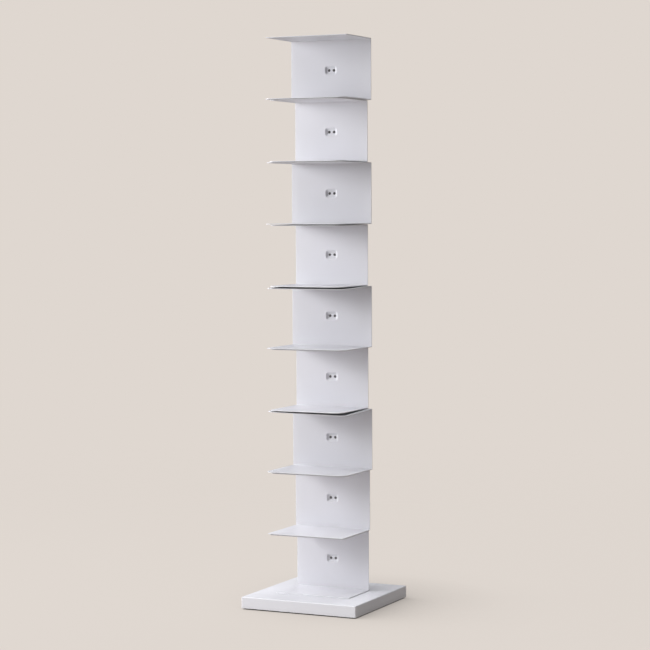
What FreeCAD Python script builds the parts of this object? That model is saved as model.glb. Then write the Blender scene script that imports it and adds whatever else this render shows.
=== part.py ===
import FreeCAD, Part
import math
import os

# Spine bookshelf: a tower of nine C-bent sheet-steel trays screwed one above
# another to a rectangular steel column that stands in a weighted square base.
# Millimetres. +Z up, +X to the right seen from the front, -Y towards the
# front (the side the trays open to). Origin: centre of the base on the floor.

V = FreeCAD.Vector

# ---------------------------------------------------------------- dimensions
BASE_W = 350.0          # square base, side
BASE_H = 32.0           # height of the base cover
BASE_LIFT = 3.0         # cover rim above the floor
BASE_SHEET = 2.0        # cover sheet thickness
BASE_R = 3.0            # outside bend radius of the cover, edges and corners

PLATE_W = 336.0         # ballast plate, side
PLATE_T = 16.0          # ballast plate thickness
PLATE_Z = 5.0           # underside of the ballast plate

PAD_R = 18.0            # rubber foot pads
PAD_T = 5.0
PAD_POS = 134.0

STANDOFF_R = 8.0        # threaded spacers between plate and cover
STANDOFF_X = 100.0
STANDOFF_Y_FRONT = -116.0
STANDOFF_Y_BACK = 132.0

SHEET = 2.0             # tray sheet thickness
BEND_R = 3.0            # outside bend radius of the trays
TRAY_H = 171.6          # outside height of a tray
GAP = 0.8               # air gap between one tray and the next, at the panels
FLANGE_D = 178.0        # reach of the bottom flanges in front of the panel
TOP_FLANGE_D = 172.0    # reach of the top flanges, set back under the next tray
CAP_FLANGE_D = 160.0    # reach of the uppermost flange
FOOT_FLANGE_D = 134.0   # reach of the lowest flange, which lies on the base
CORNER_R = 22.0         # plan radius of the rounded flange corners
SQUARE_R = 2.0          # plan radius of the square flange corners
EDGE_R = 0.45           # deburred sheet edges
PANEL_Y = 52.0          # front face of the back panels

WIDE = 247.0            # tray widths
NARROW = 224.0
MIDDLE = 232.0

# shelf trays from the bottom up: node, width, plan radius of the bottom
# flange's corners, plan radius of the top flange's corners, and how far the
# top flange's front edge hangs below level at its left and at its right end
TRAYS = [
    ("shelf_module_9", NARROW, SQUARE_R, SQUARE_R, (0.6, 0.6)),
    ("shelf_module_8", MIDDLE, SQUARE_R, CORNER_R, (0.6, 0.6)),
    ("shelf_module_7", WIDE, CORNER_R, CORNER_R, (1.4, 5.9)),
    ("shelf_module_6", NARROW, CORNER_R, CORNER_R, (0.0, 0.0)),
    ("shelf_module_5", WIDE, CORNER_R, CORNER_R, (3.5, 3.8)),
    ("shelf_module_4", NARROW, CORNER_R, CORNER_R, (1.3, 1.8)),
    ("shelf_module_3", WIDE, CORNER_R, CORNER_R, (0.0, 0.0)),
    ("shelf_module_2", NARROW, CORNER_R, CORNER_R, (0.0, 0.0)),
    ("shelf_module_1", WIDE, CORNER_R, SQUARE_R, (0.0, 0.0)),
]

RECESS_W = 36.6         # stamped screw recess in each back panel, at the face
RECESS_H = 24.5
RECESS_D = 4.6          # depth of its floor below the face
RECESS_RUN = 6.4        # how far its sloping walls reach in from the rim
RECESS_R = 8.0          # corner radius at the face
SCREW_X = 7.3           # the two screws stand this far either side of centre

SCREW_R = 1.95          # M4 button-head screws
HEAD_R = 3.8
HEAD_H = 2.2
SCREW_L = 12.0

NUT_FLANGE_R = 4.5      # M4 rivet nuts in the column
NUT_FLANGE_T = 0.7
NUT_R = 3.0
NUT_L = 9.0

COL_W = 50.0            # column tube
COL_D = 25.0
COL_T = 2.0
COL_R = 3.0             # outside corner radius of the tube
COL_TOP = 1578.0
COL_FOOT_W = 120.0      # plate welded under the tube
COL_FOOT_D = 90.0
COL_FOOT_T = 6.0

BOLT_R = 4.0            # M8 countersunk bolts, plate to column foot
BOLT_HEAD_R = 8.0
BOLT_X = 45.0
BOLT_Y = 32.0

TETHER_Z = 1540.0       # rivet nut for a wall tether in the column's back

# ------------------------------------------------------------ derived values
BASE_TOP = BASE_LIFT + BASE_H
COL_Y0 = PANEL_Y + RECESS_D + SHEET + NUT_FLANGE_T    # column front face
COL_YC = COL_Y0 + COL_D / 2.0
FOOT_Z = PLATE_Z + PLATE_T                            # underside of column foot
TUBE_Z = FOOT_Z + COL_FOOT_T


# ------------------------------------------------------------------ helpers
def box(x0, y0, z0, x1, y1, z1):
    return Part.makeBox(x1 - x0, y1 - y0, z1 - z0, V(x0, y0, z0))


def cyl(r, h, base, axis=V(0, 0, 1)):
    return Part.makeCylinder(r, h, base, axis)


def cone(r1, r2, h, base, axis=V(0, 0, 1)):
    return Part.makeCone(r1, r2, h, base, axis)


def rounded_rect_wire(w, h, r, origin, ux, uz):
    """Closed wire of a w x h rectangle with corner radius r, centred on
    origin in the plane of the unit vectors ux and uz."""
    def p(a, b):
        return origin + ux * a + uz * b
    a, b, k = w / 2.0, h / 2.0, r * (1.0 - math.sqrt(0.5))
    edges = []
    runs = [((-a + r, -b), (a - r, -b), (a - k, -b + k), (a, -b + r)),
            ((a, -b + r), (a, b - r), (a - k, b - k), (a - r, b)),
            ((a - r, b), (-a + r, b), (-a + k, b - k), (-a, b - r)),
            ((-a, b - r), (-a, -b + r), (-a + k, -b + k), (-a + r, -b))]
    for s, e, m, n in runs:
        edges.append(Part.LineSegment(p(*s), p(*e)).toShape())
        edges.append(Part.Arc(p(*e), p(*m), p(*n)).toShape())
    return Part.Wire(edges)


def prism(w, h, r, origin, ux, uz, run):
    return Part.Face(rounded_rect_wire(w, h, r, origin, ux, uz)).extrude(run)


def corner_cutter(sx, width, depth, r, z0, z1):
    """The sliver outside a rounded front corner of a flange."""
    x = sx * width / 2.0
    y = -depth
    x0, x1 = sorted((x + sx, x - sx * r))
    blank = box(x0, y - 1.0, z0, x1, y + r, z1)
    return blank.cut(cyl(r, z1 - z0, V(x - sx * r, y + r, z0)))


def one_solid(shape):
    s = shape.removeSplitter()
    solids = s.Solids
    if len(solids) != 1:
        raise RuntimeError("expected one solid, got %d" % len(solids))
    return solids[0]


def sheet_edges(solid, t):
    """Long edges where a broad face of the sheet meets its cut edge."""
    picked = []
    for e in solid.Edges:
        faces = solid.ancestorsOfType(e, Part.Face)
        if len(faces) != 2:
            continue
        mid = e.valueAt((e.FirstParameter + e.LastParameter) / 2.0)
        normals = []
        for f in faces:
            u, v = f.Surface.parameter(mid)
            normals.append(f.normalAt(u, v))
        if abs(normals[0].dot(normals[1])) < 0.2:
            picked.append(e)
    return picked


# -------------------------------------------------------------------- trays
def tray(width, r_bottom, r_top, d_bottom, d_top, droop, z0):
    """A C-shaped tray bent from one sheet: bottom flange, back panel with a
    stamped screw recess, top flange. Local y = 0 is the panel's front face.
    The top flange is bent past square so that its front edge hangs by the two
    amounts in droop at its left and right ends."""
    t, ro = SHEET, BEND_R
    ri = ro - t
    h, db, dt = TRAY_H, d_bottom, d_top
    q = math.sqrt(0.5)

    def section(x, hang):
        """The sheet's closed outline at x, with the top flange hanging."""
        tilt = math.atan(hang / dt)
        turn = math.pi / 2.0 + tilt

        def bend(r, a):
            """A point of the upper bend, at the angle a above the rearward
            direction and the radius r, and on from there along the flange."""
            return t - ro + r * math.cos(a), h - ro + r * math.sin(a)

        def tip(r):
            y, z = bend(r, turn)
            return -dt, z - (y + dt) * math.tan(tilt)

        def p(y, z):
            return V(x, y, z)

        runs = [
            (p(-db, 0), p(t - ro, 0)),
            (p(t - ro, 0), p(t - ro + ro * q, ro - ro * q), p(t, ro)),
            (p(t, ro), p(t, h - ro)),
            (p(t, h - ro), p(*bend(ro, turn / 2.0)), p(*bend(ro, turn))),
            (p(*bend(ro, turn)), p(*tip(ro))),
            (p(*tip(ro)), p(*tip(ri))),
            (p(*tip(ri)), p(*bend(ri, turn))),
            (p(*bend(ri, turn)), p(*bend(ri, turn / 2.0)), p(0, h - ro)),
            (p(0, h - ro), p(0, t + ri)),
            (p(0, t + ri), p(-ri + ri * q, t + ri - ri * q), p(-ri, t)),
            (p(-ri, t), p(-db, t)),
            (p(-db, t), p(-db, 0)),
        ]
        return Part.Wire([Part.LineSegment(*r).toShape() if len(r) == 2
                          else Part.Arc(*r).toShape() for r in runs])

    left, right = droop
    if left == right:
        body = Part.Face(section(-width / 2.0, left)).extrude(V(width, 0, 0))
    else:
        body = Part.makeLoft([section(-width / 2.0, left), section(width / 2.0, right)],
                             True, True)

    for sx in (-1, 1):
        body = body.cut(corner_cutter(sx, width, db, r_bottom, -1.0, t + 1.0))
        body = body.cut(corner_cutter(sx, width, dt, r_top, h - t - max(droop) - 1.0,
                                      h + 1.0))
    body = one_solid(body)
    body = one_solid(body.makeFillet(EDGE_R, sheet_edges(body, t)))

    # stamped recess: a drafted dish pressed backwards
    zc = h / 2.0
    ux, uz = V(1, 0, 0), V(0, 0, 1)
    rw, rh, rd, rr = RECESS_W, RECESS_H, RECESS_D, RECESS_R
    draft = RECESS_RUN / rd

    def dish(y0, y1, extra):
        w = []
        for y in (y0, y1):
            k = 2.0 * (extra - draft * y)
            w.append(rounded_rect_wire(rw + k, rh + k, max(rr + k / 2.0, 0.8),
                                       V(0, y, zc), ux, uz))
        return Part.makeLoft(w, True, True)

    boss = dish(0.5, rd + t, t * math.sqrt(1.0 + draft ** 2))
    hollow = dish(-0.5, rd, 0.0)
    body = one_solid(body.fuse(boss))
    body = one_solid(body.cut(hollow))

    # soften the pressed edges: rim and floor of the dish, front and back
    soft = []
    for e in body.Edges:
        b = e.BoundBox
        if b.XLength > rw + 6 or b.ZLength > rh + 6 or abs(b.Center.z - zc) > rh:
            continue
        if abs(b.Center.x) > rw:
            continue
        if b.YLength < 1e-6 and (abs(b.YMin) < 1e-6 or abs(b.YMin - rd) < 1e-6
                                 or abs(b.YMin - t) < 1e-6
                                 or abs(b.YMin - rd - t) < 1e-6):
            soft.append(e)
    body = one_solid(body.makeFillet(0.9, soft))

    for sx in (-1, 1):
        body = body.cut(cyl(2.15, 8.0, V(sx * SCREW_X, rd - 2.0, zc), V(0, 1, 0)))
    body = one_solid(body)
    body.translate(V(0, PANEL_Y, z0))
    return body


# ----------------------------------------------------------------- fixings
def button_screw(x, z):
    """M4 button-head screw with a hex socket, head seated on the recess
    floor, pointing backwards."""
    y = PANEL_Y + RECESS_D
    rad = (HEAD_R ** 2 + HEAD_H ** 2) / (2.0 * HEAD_H) * 1.02
    dome = Part.makeSphere(rad, V(x, y - HEAD_H + rad, z))
    head = cyl(HEAD_R, HEAD_H, V(x, y - HEAD_H, z), V(0, 1, 0)).common(dome)
    shank = cyl(SCREW_R, SCREW_L, V(x, y, z), V(0, 1, 0))
    body = head.fuse(shank)
    hexa = []
    for i in range(7):
        a = math.radians(60 * i + 30)
        hexa.append(V(x + 1.44 * math.cos(a), y - HEAD_H - 0.5, z + 1.44 * math.sin(a)))
    socket = Part.Face(Part.makePolygon(hexa)).extrude(V(0, 1.8, 0))
    return one_solid(body.cut(socket))


def rivet_nut(x, z, y0, s, r_in, r_body, r_flange, length):
    """Blind rivet nut; its flange lies on the face at y0, s = +1 when the
    body points to +Y."""
    ax = V(0, s, 0)
    nut = cyl(r_flange, NUT_FLANGE_T, V(x, y0 - s * NUT_FLANGE_T, z), ax)
    nut = nut.fuse(cyl(r_body, length, V(x, y0, z), ax))
    bulge = cyl(r_body + 0.7, 1.6, V(x, y0 + s * COL_T, z), ax)
    nut = nut.fuse(bulge)
    nut = nut.cut(cyl(r_in, length + 4.0, V(x, y0 - s * 2.0, z), ax))
    return one_solid(nut)


# --------------------------------------------------------------------- base
def base_cover():
    """Folded sheet tray, open underneath, with a slot for the column."""
    a = BASE_W / 2.0
    outer = prism(BASE_W, BASE_W, BASE_R, V(0, 0, BASE_LIFT), V(1, 0, 0), V(0, 1, 0),
                  V(0, 0, BASE_H))
    top_edges = [e for e in outer.Edges
                 if abs(e.BoundBox.ZMin - BASE_TOP) < 1e-6]
    outer = outer.makeFillet(BASE_R - 0.2, top_edges)
    inner = prism(BASE_W - 2 * BASE_SHEET, BASE_W - 2 * BASE_SHEET,
                  BASE_R - BASE_SHEET, V(0, 0, BASE_LIFT - 1.0),
                  V(1, 0, 0), V(0, 1, 0), V(0, 0, BASE_H + 1.0 - BASE_SHEET))
    top_in = [e for e in inner.Edges
              if abs(e.BoundBox.ZMin - (BASE_TOP - BASE_SHEET)) < 1e-6]
    inner = inner.makeFillet(BASE_R - BASE_SHEET - 0.2, top_in)
    cover = one_solid(outer.cut(inner))
    rim = [e for e in cover.Edges
           if abs(e.BoundBox.ZMax - BASE_LIFT) < 1e-6
           and (abs(abs(e.BoundBox.Center.x) - a) < 2.0 - 1e-3
                or abs(abs(e.BoundBox.Center.y) - a) < 2.0 - 1e-3)]
    outer_rim = []
    for e in rim:
        m = e.valueAt((e.FirstParameter + e.LastParameter) / 2.0)
        if max(abs(m.x), abs(m.y)) > a - 1.2:
            outer_rim.append(e)
    cover = one_solid(cover.makeFillet(0.5, outer_rim))
    slot = prism(COL_W + 2.0, COL_D + 2.0, COL_R + 1.0,
                 V(0, COL_YC, BASE_TOP - 6.0), V(1, 0, 0), V(0, 1, 0), V(0, 0, 12.0))
    return one_solid(cover.cut(slot))


def bolt_points():
    return [(sx * BOLT_X, COL_YC + sy * BOLT_Y) for sx in (-1, 1) for sy in (-1, 1)]


def standoff_points():
    return [(sx * STANDOFF_X, y) for sx in (-1, 1)
            for y in (STANDOFF_Y_FRONT, STANDOFF_Y_BACK)]


def base_plate():
    """Steel ballast plate with countersunk bolt holes on its underside."""
    p = prism(PLATE_W, PLATE_W, 6.0, V(0, 0, PLATE_Z), V(1, 0, 0), V(0, 1, 0),
              V(0, 0, PLATE_T))
    rims = [e for e in p.Edges if e.BoundBox.ZLength < 1e-6]
    p = p.makeChamfer(0.8, rims)
    for x, y in bolt_points():
        p = p.cut(cyl(BOLT_R + 0.5, PLATE_T + 2, V(x, y, PLATE_Z - 1)))
        p = p.cut(cone(BOLT_HEAD_R + 0.6, BOLT_R + 0.5, BOLT_HEAD_R - BOLT_R + 0.1,
                       V(x, y, PLATE_Z)))
    for x, y in standoff_points():
        p = p.cut(cyl(2.75, PLATE_T + 2, V(x, y, PLATE_Z - 1)))
        p = p.cut(cyl(5.5, 6.0, V(x, y, PLATE_Z - 1)))
    return one_solid(p)


def column():
    """Rectangular tube welded to its foot plate, drilled for rivet nuts."""
    tube = prism(COL_W, COL_D, COL_R, V(0, COL_YC, TUBE_Z - 0.5), V(1, 0, 0),
                 V(0, 1, 0), V(0, 0, COL_TOP - TUBE_Z + 0.5))
    bore = prism(COL_W - 2 * COL_T, COL_D - 2 * COL_T, COL_R - COL_T,
                 V(0, COL_YC, TUBE_Z), V(1, 0, 0), V(0, 1, 0),
                 V(0, 0, COL_TOP - TUBE_Z + 1.0))
    foot = prism(COL_FOOT_W, COL_FOOT_D, 4.0, V(0, COL_YC, FOOT_Z), V(1, 0, 0),
                 V(0, 1, 0), V(0, 0, COL_FOOT_T))
    # weld bead round the tube's foot
    bead = prism(COL_W + 4.0, COL_D + 4.0, COL_R + 2.0, V(0, COL_YC, TUBE_Z),
                 V(1, 0, 0), V(0, 1, 0), V(0, 0, 2.0))
    rim = [e for e in bead.Edges if abs(e.BoundBox.ZMin - TUBE_Z - 2.0) < 1e-6]
    bead = bead.makeChamfer(1.9, rim)
    c = tube.fuse(foot).fuse(bead).cut(bore)
    for x, y in bolt_points():
        c = c.cut(cyl(BOLT_R + 0.05, COL_FOOT_T + 2, V(x, y, FOOT_Z - 1)))
    for zc in screw_levels():
        for sx in (-1, 1):
            c = c.cut(cyl(NUT_R, COL_T + 2, V(sx * SCREW_X, COL_Y0 - 1, zc), V(0, 1, 0)))
    c = c.cut(cyl(3.5, COL_T + 2, V(0, COL_Y0 + COL_D + 1, TETHER_Z), V(0, -1, 0)))
    return one_solid(c)


def column_cap():
    """Moulded plug that closes the top of the tube."""
    top = prism(COL_W, COL_D, COL_R, V(0, COL_YC, COL_TOP), V(1, 0, 0), V(0, 1, 0),
                V(0, 0, 3.0))
    rim = [e for e in top.Edges if abs(e.BoundBox.ZMin - COL_TOP - 3.0) < 1e-6]
    top = top.makeFillet(1.5, rim)
    plug = prism(COL_W - 2 * COL_T - 0.4, COL_D - 2 * COL_T - 0.4, 1.0,
                 V(0, COL_YC, COL_TOP - 12.0), V(1, 0, 0), V(0, 1, 0), V(0, 0, 12.5))
    core = prism(COL_W - 2 * COL_T - 4.4, COL_D - 2 * COL_T - 4.4, 1.0,
                 V(0, COL_YC, COL_TOP - 13.0), V(1, 0, 0), V(0, 1, 0), V(0, 0, 12.0))
    return one_solid(top.fuse(plug).cut(core))


def bolt(x, y):
    """M8 countersunk bolt, head down in the ballast plate."""
    k = BOLT_HEAD_R - BOLT_R
    head = cone(BOLT_HEAD_R, BOLT_R, k, V(x, y, PLATE_Z + 0.3))
    shank = cyl(BOLT_R, FOOT_Z + COL_FOOT_T - PLATE_Z - 0.3, V(x, y, PLATE_Z + 0.3))
    b = head.fuse(shank)
    pts = [V(x + 2.9 * math.cos(math.radians(60 * i)),
             y + 2.9 * math.sin(math.radians(60 * i)), PLATE_Z - 1) for i in range(7)]
    return one_solid(b.cut(Part.Face(Part.makePolygon(pts)).extrude(V(0, 0, 4.3))))


def standoff(x, y):
    s = cyl(STANDOFF_R, BASE_TOP - BASE_SHEET - FOOT_Z, V(x, y, FOOT_Z))
    return one_solid(s.cut(cyl(2.55, 10.0, V(x, y, FOOT_Z - 1))))


def standoff_screw(x, y):
    z = PLATE_Z + 5.0
    head = cyl(4.6, 3.0, V(x, y, z - 3.0))
    shank = cyl(2.5, FOOT_Z + 8.0 - z, V(x, y, z))
    b = head.fuse(shank)
    pts = [V(x + 2.0 * math.cos(math.radians(60 * i)),
             y + 2.0 * math.sin(math.radians(60 * i)), z - 4.0) for i in range(7)]
    return one_solid(b.cut(Part.Face(Part.makePolygon(pts)).extrude(V(0, 0, 2.8))))


def pad(x, y):
    p = cyl(PAD_R, PAD_T, V(x, y, 0))
    rim = [e for e in p.Edges if abs(e.BoundBox.ZMax) < 1e-6]
    return one_solid(p.makeFillet(1.0, rim))


# ----------------------------------------------------------------- assembly
def tray_levels():
    z, out = BASE_TOP, []
    for name, width, rb, rt, droop in TRAYS:
        out.append((name, width, rb, rt, droop, z))
        z += TRAY_H + GAP
    return out


def screw_levels():
    return [level[-1] + TRAY_H / 2.0 for level in tray_levels()]


def build():
    nodes = {}
    for name, width, rb, rt, droop, z in tray_levels():
        top = CAP_FLANGE_D if name == "shelf_module_1" else TOP_FLANGE_D
        foot = FOOT_FLANGE_D if name == "shelf_module_9" else FLANGE_D
        nodes[name] = tray(width, rb, rt, foot, top, droop, z)
    nodes["base_cover"] = base_cover()
    nodes["base_weight_plate"] = base_plate()
    nodes["spine_column"] = column()
    nodes["column_cap"] = column_cap()
    nodes["column_bolts"] = Part.makeCompound([bolt(x, y) for x, y in bolt_points()])
    nodes["cover_standoffs"] = Part.makeCompound(
        [standoff(x, y) for x, y in standoff_points()])
    nodes["standoff_screws"] = Part.makeCompound(
        [standoff_screw(x, y) for x, y in standoff_points()])
    nodes["foot_pads"] = Part.makeCompound(
        [pad(sx * PAD_POS, sy * PAD_POS) for sx in (-1, 1) for sy in (-1, 1)])
    nodes["recess_screws"] = Part.makeCompound(
        [button_screw(sx * SCREW_X, z) for z in screw_levels() for sx in (-1, 1)])
    nodes["spine_rivet_nuts"] = Part.makeCompound(
        [rivet_nut(sx * SCREW_X, z, COL_Y0, 1, 2.0, NUT_R, NUT_FLANGE_R, NUT_L)
         for z in screw_levels() for sx in (-1, 1)])
    nodes["tether_nut"] = rivet_nut(0.0, TETHER_Z, COL_Y0 + COL_D, -1, 2.5, 3.5,
                                    5.0, 10.0)
    return nodes


def main():
    os.makedirs("parts", exist_ok=True)
    for name, shape in build().items():
        if not shape.isValid():
            raise RuntimeError(name + " is not valid")
        shape.exportStep(os.path.join("parts", name + ".step"))
        bb = shape.BoundBox
        print("%-18s solids %2d  x %8.2f %8.2f  y %8.2f %8.2f  z %8.2f %8.2f  vol %.0f"
              % (name, len(shape.Solids), bb.XMin, bb.XMax, bb.YMin, bb.YMax,
                 bb.ZMin, bb.ZMax, shape.Volume))


main()
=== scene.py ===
import math

import bpy
from mathutils import Matrix, Vector

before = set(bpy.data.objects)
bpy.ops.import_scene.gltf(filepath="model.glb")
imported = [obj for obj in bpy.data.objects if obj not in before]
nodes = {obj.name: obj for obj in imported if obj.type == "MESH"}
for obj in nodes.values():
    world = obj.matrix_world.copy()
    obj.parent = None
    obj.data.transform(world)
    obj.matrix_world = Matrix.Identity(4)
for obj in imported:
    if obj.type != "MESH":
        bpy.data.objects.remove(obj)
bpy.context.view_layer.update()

# ------------------------------------------------------------------ camera
# solved from the corners of the base, the panels and the shelves
CAM_AT = (2.5286, -5.3203, 1.1059)
CAM_AZ, CAM_DOWN, CAM_ROLL = 25.39, 3.10, -0.24
CAM_LENS = 116.57


def make_camera():
    az, dn, ro = (math.radians(v) for v in (CAM_AZ, CAM_DOWN, CAM_ROLL))
    fw = Vector((-math.sin(az) * math.cos(dn), math.cos(az) * math.cos(dn), -math.sin(dn)))
    rt = Vector((math.cos(az), math.sin(az), 0.0))
    up = rt.cross(fw)
    x = rt * math.cos(ro) + up * math.sin(ro)
    y = up * math.cos(ro) - rt * math.sin(ro)
    data = bpy.data.cameras.new("camera")
    data.sensor_fit = "HORIZONTAL"
    data.sensor_width = 36.0
    data.lens = CAM_LENS
    data.clip_start, data.clip_end = 0.1, 100.0
    cam = bpy.data.objects.new("camera", data)
    m = Matrix((x, y, -fw)).transposed().to_4x4()
    m.translation = Vector(CAM_AT)
    cam.matrix_world = m
    bpy.context.scene.collection.objects.link(cam)
    bpy.context.scene.camera = cam
    return cam


# --------------------------------------------------------------- materials
class Graph:
    """Small helper that adds nodes to one material and links them."""

    def __init__(self, name):
        self.mat = bpy.data.materials.new(name)
        self.mat.use_nodes = True
        self.t = self.mat.node_tree
        self.t.nodes.clear()
        self.out = self.add("ShaderNodeOutputMaterial")
        self.bsdf = self.add("ShaderNodeBsdfPrincipled")
        self.link(self.bsdf.outputs[0], self.out.inputs["Surface"])

    def add(self, kind, **inputs):
        n = self.t.nodes.new(kind)
        for k, v in inputs.items():
            setattr(n, k, v)
        return n

    def link(self, a, b):
        self.t.links.new(a, b)

    def coords(self, scale=(1, 1, 1), turn=(0, 0, 0)):
        c = self.add("ShaderNodeTexCoord")
        m = self.add("ShaderNodeMapping")
        m.inputs["Scale"].default_value = scale
        m.inputs["Rotation"].default_value = turn
        self.link(c.outputs["Object"], m.inputs["Vector"])
        return m.outputs["Vector"]

    def noise(self, vec, scale, detail=2.0, rough=0.5, distort=0.0):
        n = self.add("ShaderNodeTexNoise")
        n.inputs["Scale"].default_value = scale
        n.inputs["Detail"].default_value = detail
        n.inputs["Roughness"].default_value = rough
        n.inputs["Distortion"].default_value = distort
        self.link(vec, n.inputs["Vector"])
        return n.outputs["Fac"]

    def ramp(self, fac, lo, hi, a, b):
        """fac from lo..hi mapped to a..b, clamped."""
        m = self.add("ShaderNodeMapRange")
        m.interpolation_type = "SMOOTHSTEP"
        for k, v in (("From Min", lo), ("From Max", hi), ("To Min", a), ("To Max", b)):
            m.inputs[k].default_value = v
        self.link(fac, m.inputs["Value"])
        return m.outputs["Result"]

    def math(self, op, a, b=None, clamp=False):
        m = self.add("ShaderNodeMath", operation=op, use_clamp=clamp)
        for i, v in enumerate((a, b)):
            if v is None:
                continue
            if isinstance(v, (int, float)):
                m.inputs[i].default_value = v
            else:
                self.link(v, m.inputs[i])
        return m.outputs[0]

    def mix(self, fac, a, b):
        m = self.add("ShaderNodeMix", data_type="RGBA")
        if isinstance(fac, (int, float)):
            m.inputs[0].default_value = fac
        else:
            self.link(fac, m.inputs[0])
        for i, v in ((6, a), (7, b)):
            if isinstance(v, tuple):
                m.inputs[i].default_value = (*v, 1.0)
            else:
                self.link(v, m.inputs[i])
        return m.outputs[2]

    def bump(self, height, strength, distance, before=None):
        b = self.add("ShaderNodeBump")
        b.inputs["Strength"].default_value = strength
        b.inputs["Distance"].default_value = distance
        self.link(height, b.inputs["Height"])
        if before is not None:
            self.link(before, b.inputs["Normal"])
        return b.outputs["Normal"]


def powder_coat(name, colour, worn_and_highlight, dust_and_shade, scuffed=True):
    """Satin powder coat on sheet steel: orange peel and fine grain in the
    normal, cloudy tone, edges painted lighter (partly coat thinned there, partly
    painted highlight), inner corners darkened toward a dust tone (partly dust,
    partly painted shade), painted shade turning the narrow gaps between stacked
    flanges near black, and light scuffs along the shelf floors where things slide in and out."""
    g = Graph(name)
    flat = g.coords()
    cloud = g.noise(flat, 3.1, 3.0, 0.55)
    fleck = g.noise(flat, 900.0, 2.0, 0.6)
    peel = g.noise(flat, 330.0, 2.0, 0.5)
    grain = g.noise(flat, 1900.0, 1.0, 0.5)

    tone = g.mix(g.ramp(cloud, 0.36, 0.66, 0.0, 1.0), colour,
                 tuple(c * 0.975 for c in colour))
    tone = g.mix(g.ramp(fleck, 0.60, 0.78, 0.0, 0.35), tone,
                 tuple(c * 0.93 for c in colour))

    # edges: how far the normal turns within a millimetre; they are painted lighter, partly coat
    # wear and partly painted highlight
    geo = g.add("ShaderNodeNewGeometry")
    bev = g.add("ShaderNodeBevel", samples=4)
    bev.inputs["Radius"].default_value = 0.0011
    dot = g.add("ShaderNodeVectorMath", operation="DOT_PRODUCT")
    g.link(geo.outputs["Normal"], dot.inputs[0])
    g.link(bev.outputs["Normal"], dot.inputs[1])
    edge = g.ramp(dot.outputs["Value"], 0.998, 0.86, 0.0, 1.0)
    uneven = g.ramp(g.noise(flat, 31.0, 3.0, 0.6), 0.30, 0.70, 0.75, 1.0)
    edge = g.math("MULTIPLY", edge, uneven)
    # painted highlight and wear: edges mixed toward a lighter tone
    tone = g.mix(g.math("MULTIPLY", edge, 0.6), tone, worn_and_highlight)

    # inner corners darkened toward a dust tone where occlusion is high: partly dust, partly
    # painted shade
    ao = g.add("ShaderNodeAmbientOcclusion", samples=4)
    ao.inputs["Distance"].default_value = 0.016
    corner = g.ramp(ao.outputs["AO"], 0.95, 0.35, 0.0, 1.0)
    corner = g.math("MULTIPLY", corner, g.ramp(g.noise(flat, 24.0, 3.0), 0.3, 0.7, 0.35, 1.0))
    tone = g.mix(g.math("MULTIPLY", corner, 0.35), tone, dust_and_shade)

    # painted shade: close occlusion darkens the narrow gaps between stacked flanges to near
    # black
    deep = g.add("ShaderNodeAmbientOcclusion", samples=8)
    deep.inputs["Distance"].default_value = 0.008
    painted_gap_shade = g.ramp(deep.outputs["AO"], 0.42, 0.16, 0.0, 0.85)
    tone = g.mix(painted_gap_shade, tone, (0.10, 0.10, 0.105))
    g.link(tone, g.bsdf.inputs["Base Color"])

    rough = g.ramp(cloud, 0.3, 0.7, 0.43, 0.50)
    if scuffed:
        streak = g.noise(g.coords((240.0, 9.0, 60.0), (0, 0, 0.05)), 1.0, 3.0, 0.6, 0.4)
        patch = g.ramp(g.noise(flat, 9.0, 2.0), 0.42, 0.62, 0.0, 1.0)
        up = g.add("ShaderNodeSeparateXYZ")
        g.link(geo.outputs["Normal"], up.inputs[0])
        level = g.ramp(up.outputs["Z"], 0.90, 0.99, 0.0, 1.0)
        scuff = g.math("MULTIPLY", g.ramp(streak, 0.60, 0.74, 0.0, 1.0), patch)
        scuff = g.math("MULTIPLY", scuff, level)
        rough = g.math("SUBTRACT", rough, g.math("MULTIPLY", scuff, 0.09))
    rough = g.math("ADD", rough, g.math("MULTIPLY", edge, 0.16))
    rough = g.math("ADD", rough, g.math("MULTIPLY", corner, 0.12), clamp=True)
    g.link(rough, g.bsdf.inputs["Roughness"])

    n = g.bump(peel, 0.20, 0.00012)
    n = g.bump(grain, 0.16, 0.00004, n)
    g.link(n, g.bsdf.inputs["Normal"])
    g.bsdf.inputs["IOR"].default_value = 1.5
    return g.mat


def black_steel(name):
    """Black oxide screw: dark bluish brown, rubbed brighter on its rims."""
    g = Graph(name)
    v = g.coords()
    c = g.mix(g.ramp(g.noise(v, 700.0, 3.0), 0.35, 0.65, 0.0, 1.0),
              (0.132, 0.132, 0.138), (0.198, 0.194, 0.190))
    geo = g.add("ShaderNodeNewGeometry")
    bev = g.add("ShaderNodeBevel", samples=4)
    bev.inputs["Radius"].default_value = 0.00035
    dot = g.add("ShaderNodeVectorMath", operation="DOT_PRODUCT")
    g.link(geo.outputs["Normal"], dot.inputs[0])
    g.link(bev.outputs["Normal"], dot.inputs[1])
    edge = g.ramp(dot.outputs["Value"], 0.99, 0.80, 0.0, 0.8)
    c = g.mix(edge, c, (0.30, 0.294, 0.288))
    g.link(c, g.bsdf.inputs["Base Color"])
    g.link(g.ramp(g.noise(v, 2600.0, 2.0), 0.3, 0.7, 0.34, 0.5), g.bsdf.inputs["Roughness"])
    g.link(g.bump(g.noise(v, 3200.0, 2.0), 0.25, 0.00003), g.bsdf.inputs["Normal"])
    g.bsdf.inputs["Metallic"].default_value = 0.6
    return g.mat


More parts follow.
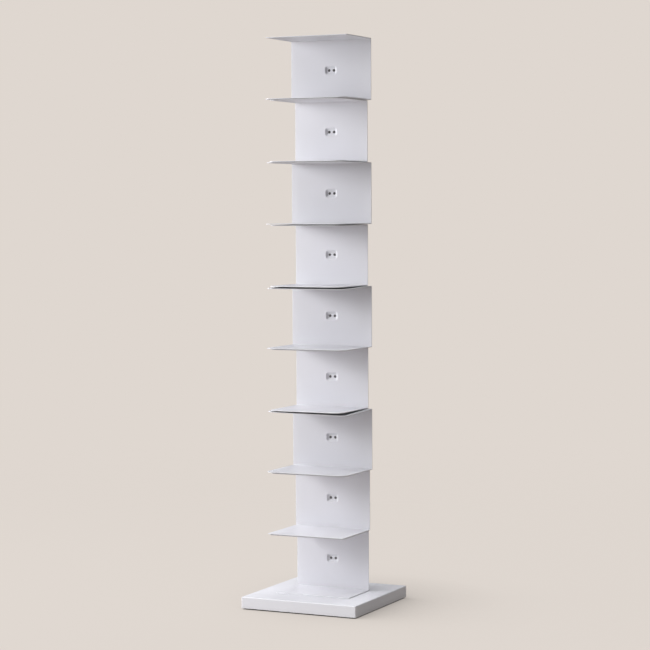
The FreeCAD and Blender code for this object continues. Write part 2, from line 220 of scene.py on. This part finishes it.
def zinc(name):
    """Bright zinc plate with faint turning marks and dull patches."""
    g = Graph(name)
    v = g.coords()
    c = g.mix(g.ramp(g.noise(v, 160.0, 3.0), 0.35, 0.65, 0.0, 1.0),
              (0.60, 0.61, 0.63), (0.50, 0.51, 0.52))
    g.link(c, g.bsdf.inputs["Base Color"])
    g.link(g.ramp(g.noise(g.coords((1, 14, 1)), 420.0, 3.0), 0.3, 0.7, 0.24, 0.42),
           g.bsdf.inputs["Roughness"])
    g.link(g.bump(g.noise(g.coords((1, 14, 1)), 900.0, 2.0), 0.3, 0.00003),
           g.bsdf.inputs["Normal"])
    g.bsdf.inputs["Metallic"].default_value = 1.0
    return g.mat


def primed_plate(name):
    """Cut steel plate in dark primer with mill scale and rolled streaks."""
    g = Graph(name)
    v = g.coords()
    c = g.mix(g.ramp(g.noise(v, 14.0, 4.0, 0.6), 0.35, 0.65, 0.0, 1.0),
              (0.075, 0.078, 0.085), (0.105, 0.106, 0.11))
    c = g.mix(g.ramp(g.noise(v, 420.0, 3.0, 0.7), 0.62, 0.75, 0.0, 0.6), c,
              (0.16, 0.15, 0.14))
    g.link(c, g.bsdf.inputs["Base Color"])
    g.link(g.ramp(g.noise(v, 60.0, 3.0), 0.3, 0.7, 0.55, 0.72), g.bsdf.inputs["Roughness"])
    n = g.bump(g.noise(v, 260.0, 3.0), 0.3, 0.0002)
    g.link(g.bump(g.noise(v, 1500.0, 2.0), 0.2, 0.00006, n), g.bsdf.inputs["Normal"])
    return g.mat


def rubber(name):
    g = Graph(name)
    v = g.coords()
    c = g.mix(g.ramp(g.noise(v, 90.0, 4.0, 0.6), 0.35, 0.7, 0.0, 1.0),
              (0.022, 0.022, 0.023), (0.045, 0.043, 0.040))
    g.link(c, g.bsdf.inputs["Base Color"])
    g.link(g.ramp(g.noise(v, 300.0, 2.0), 0.3, 0.7, 0.72, 0.88), g.bsdf.inputs["Roughness"])
    g.link(g.bump(g.noise(v, 1200.0, 3.0), 0.35, 0.00012), g.bsdf.inputs["Normal"])
    return g.mat


def moulded(name, colour):
    g = Graph(name)
    v = g.coords()
    c = g.mix(g.ramp(g.noise(v, 30.0, 3.0), 0.35, 0.65, 0.0, 1.0), colour,
              tuple(x * 0.96 for x in colour))
    g.link(c, g.bsdf.inputs["Base Color"])
    g.link(g.ramp(g.noise(v, 400.0, 2.0), 0.3, 0.7, 0.52, 0.62), g.bsdf.inputs["Roughness"])
    g.link(g.bump(g.noise(v, 2400.0, 2.0), 0.4, 0.00005), g.bsdf.inputs["Normal"])
    return g.mat


COOL = (0.742, 0.742, 0.789)
WIDE_COAT = tuple(c * 0.93 for c in COOL)
BRIGHT_COAT = tuple(c * 1.025 for c in COOL)
# lighter edge tone: partly coat wear, partly painted highlight
WORN_AND_HIGHLIGHT = (0.86, 0.863, 0.885)
# dust tone for inner corners, which also carries painted shade there
DUST_AND_SHADE = (0.50, 0.49, 0.47)

mats = {
    "wide": powder_coat("coat_wide", WIDE_COAT, WORN_AND_HIGHLIGHT, DUST_AND_SHADE),
    "narrow": powder_coat("coat_narrow", COOL, WORN_AND_HIGHLIGHT, DUST_AND_SHADE),
    "bright": powder_coat("coat_bright", BRIGHT_COAT, WORN_AND_HIGHLIGHT, DUST_AND_SHADE),
    "base": powder_coat("coat_base", COOL, WORN_AND_HIGHLIGHT, DUST_AND_SHADE),
    "column": powder_coat("coat_column", COOL, WORN_AND_HIGHLIGHT, DUST_AND_SHADE, scuffed=False),
    "black": black_steel("black_oxide"),
    "zinc": zinc("zinc_plate"),
    "plate": primed_plate("dark_primer"),
    "pad": rubber("pad_rubber"),
    "cap": moulded("cap_plastic", COOL),
}
FINISH = {
    "base_cover": "base",
    "base_weight_plate": "plate",
    "spine_column": "column",
    "column_cap": "cap",
    "column_bolts": "zinc",
    "cover_standoffs": "zinc",
    "standoff_screws": "zinc",
    "foot_pads": "pad",
    "recess_screws": "black",
    "spine_rivet_nuts": "zinc",
    "tether_nut": "zinc",
}
for i in range(1, 10):
    FINISH["shelf_module_%d" % i] = ("wide" if i in (1, 3, 5, 7) else
                                     "bright" if i in (2, 8) else "narrow")

for name, obj in nodes.items():
    mat = mats[FINISH[name]]
    if not obj.material_slots:
        obj.data.materials.append(mat)
    for s in obj.material_slots:
        s.material = mat

# ------------------------------------------------------------------- stage
STAGE = (0.7379, 0.6795, 0.6308)       # colour of the floor and surroundings
FLOOR_SEEN = 0.965                     # share of that tone the floor shows by itself
FLOOR_CAST = 0.725                     # and the share it throws back on the object
FLOOR_ALBEDO = 0.02                    # how much it answers to the lights


def make_floor():
    """A pale seamless sweep: evenly lit by itself, answering a little to the
    lights, with a painted soft contact shadow, and fading into the surroundings."""
    n, rings = 96, (0.0, 0.4, 0.8, 1.6, 3.2, 4.5)
    verts, faces = [(0.0, 0.0, 0.0)], []
    for r in rings[1:]:
        verts += [(r * math.cos(2 * math.pi * i / n), r * math.sin(2 * math.pi * i / n), 0.0)
                  for i in range(n)]
    for i in range(n):
        faces.append((0, 1 + i, 1 + (i + 1) % n))
    for k in range(len(rings) - 2):
        a, b = 1 + k * n, 1 + (k + 1) * n
        for i in range(n):
            j = (i + 1) % n
            faces.append((a + i, b + i, b + j, a + j))
    me = bpy.data.meshes.new("floor")
    me.from_pydata(verts, [], faces)
    o = bpy.data.objects.new("floor", me)
    bpy.context.scene.collection.objects.link(o)
    g = Graph("floor_matt")
    v = g.coords()
    hue = tuple(c / STAGE[1] for c in STAGE)
    c = g.mix(g.ramp(g.noise(v, 2.0, 3.0), 0.3, 0.7, 0.0, 1.0),
              tuple(FLOOR_ALBEDO * h for h in hue), tuple(0.995 * FLOOR_ALBEDO * h for h in hue))
    g.link(c, g.bsdf.inputs["Base Color"])
    g.bsdf.inputs["Roughness"].default_value = 1.0
    g.bsdf.inputs["Specular IOR Level"].default_value = 0.0
    # painted shadow: the floor's own glow is dimmed by occlusion, with a wide soft
    # shade that leans away from the key light and a close one under the rim of the base
    def open_sky(distance, samples, leaning=None):
        ao = g.add("ShaderNodeAmbientOcclusion", samples=samples)
        ao.inputs["Distance"].default_value = distance
        if leaning is not None:
            lean = g.add("ShaderNodeCombineXYZ")
            for i, k in enumerate(Vector(leaning).normalized()):
                lean.inputs[i].default_value = k
            g.link(lean.outputs[0], ao.inputs["Normal"])
        return ao.outputs["AO"]

    wide = g.math("MULTIPLY_ADD", open_sky(0.45, 16, (-0.5, -0.5, 0.7)), 0.72)
    wide.node.inputs[2].default_value = 0.28
    close = g.ramp(open_sky(0.03, 16), 0.16, 0.50, 0.03, 1.0)
    shade = g.math("MULTIPLY", wide, close)
    glow = g.add("ShaderNodeEmission")
    glow.inputs["Color"].default_value = (*STAGE, 1.0)
    path = g.add("ShaderNodeLightPath")
    share = g.ramp(path.outputs["Is Camera Ray"], 0.0, 1.0, FLOOR_CAST, FLOOR_SEEN)
    g.link(g.math("MULTIPLY", shade, share), glow.inputs["Strength"])
    both = g.add("ShaderNodeAddShader")
    g.link(g.bsdf.outputs[0], both.inputs[0])
    g.link(glow.outputs[0], both.inputs[1])
    ln = g.add("ShaderNodeVectorMath", operation="LENGTH")
    g.link(v, ln.inputs[0])
    clear = g.add("ShaderNodeBsdfTransparent")
    mix = g.add("ShaderNodeMixShader")
    g.link(g.ramp(ln.outputs["Value"], 1.7, 4.2, 0.0, 1.0), mix.inputs[0])
    g.link(both.outputs[0], mix.inputs[1])
    g.link(clear.outputs[0], mix.inputs[2])
    g.link(mix.outputs[0], g.out.inputs["Surface"])
    me.materials.append(g.mat)
    return o


def make_world(sky, ground):
    """Even surroundings: plain stage colour to look at, a soft even light
    from above the horizon and the floor's own light from below it."""
    w = bpy.data.worlds.new("surroundings")
    w.use_nodes = True
    t = w.node_tree
    t.nodes.clear()
    new, link = t.nodes.new, t.links.new
    out = new("ShaderNodeOutputWorld")
    seen = new("ShaderNodeBackground")
    seen.inputs[0].default_value = (*STAGE, 1.0)
    high = new("ShaderNodeBackground")
    high.inputs[0].default_value = (1.0, 1.0, 1.0, 1.0)
    high.inputs[1].default_value = sky
    low = new("ShaderNodeBackground")
    low.inputs[0].default_value = (*STAGE, 1.0)
    low.inputs[1].default_value = ground
    tc = new("ShaderNodeTexCoord")
    sep = new("ShaderNodeSeparateXYZ")
    link(tc.outputs["Generated"], sep.inputs[0])
    hz = new("ShaderNodeMapRange")
    for k, v in (("From Min", -0.03), ("From Max", 0.03), ("To Min", 0.0), ("To Max", 1.0)):
        hz.inputs[k].default_value = v
    link(sep.outputs["Z"], hz.inputs["Value"])
    both = new("ShaderNodeMixShader")
    link(hz.outputs["Result"], both.inputs[0])
    link(low.outputs[0], both.inputs[1])
    link(high.outputs[0], both.inputs[2])
    path = new("ShaderNodeLightPath")
    pick = new("ShaderNodeMixShader")
    link(path.outputs["Is Camera Ray"], pick.inputs[0])
    link(both.outputs[0], pick.inputs[1])
    link(seen.outputs[0], pick.inputs[2])
    link(pick.outputs[0], out.inputs["Surface"])
    bpy.context.scene.world = w


def lamp(name, kind, at, aim, energy, colour, **size):
    d = bpy.data.lights.new(name, kind)
    d.energy, d.color = energy, colour
    for k, v in size.items():
        setattr(d, k, v)
    o = bpy.data.objects.new(name, d)
    o.location = at
    o.rotation_mode = "QUATERNION"
    o.rotation_quaternion = (Vector(at) - Vector(aim)).to_track_quat("Z", "Y")
    o.visible_camera = False
    bpy.context.scene.collection.objects.link(o)
    return o


def sun(name, az, el, strength, angle):
    """A far light. az is turned from the front towards the left."""
    a, e = math.radians(az), math.radians(el)
    at = (-math.sin(a) * math.cos(e) * 3, -math.cos(a) * math.cos(e) * 3, math.sin(e) * 3)
    o = lamp(name, "SUN", at, (0, 0, 0), strength, LIGHT, angle=math.radians(angle))
    o.visible_glossy = el > 30        # a low light would glare along the shelf floors
    return o


def softbox(name, az, z, watts, wide, high):
    a = math.radians(az)
    o = lamp(name, "AREA", (-math.sin(a) * 2.2, -math.cos(a) * 2.2, z), (0, 0, 0.8), watts,
             LIGHT, shape="RECTANGLE", size=wide, size_y=high)
    o.visible_glossy = False
    return o


LIGHT = (1.0, 1.0, 1.0)

floor = make_floor()
# LIGHTS BEGIN
make_world(0.102, 0.30)
softbox("key_top", 60, 2.3, 3.3, 0.9, 0.7)
softbox("key_high", 60, 1.55, 17.8, 0.9, 0.7)
softbox("key_middle", 60, 1.2, 12.8, 0.9, 0.7)
softbox("side_middle", 85, 1.2, 12.6, 0.9, 0.7)
softbox("front_fill", 10, 1.5, 1.9, 0.9, 0.7)
sun("far_key", 60, 12, 1.026, 28.0)
sun("far_front_left", 30, 12, 0.267, 28.0)
sun("top_left", 90, 58, 0.565, 28.0)
sun("top_front_left", 30, 58, 0.285, 28.0)
sun("top_front", 0, 54, 0.746, 28.0)
sun("top_right", -40, 52, 0.156, 28.0)
sun("top_back", 180, 50, 0.88, 28.0)
# LIGHTS END
make_camera()

view = bpy.context.scene.view_settings
view.view_transform = "Standard"
view.look = "None"
view.exposure = 0.0
view.gamma = 1.0
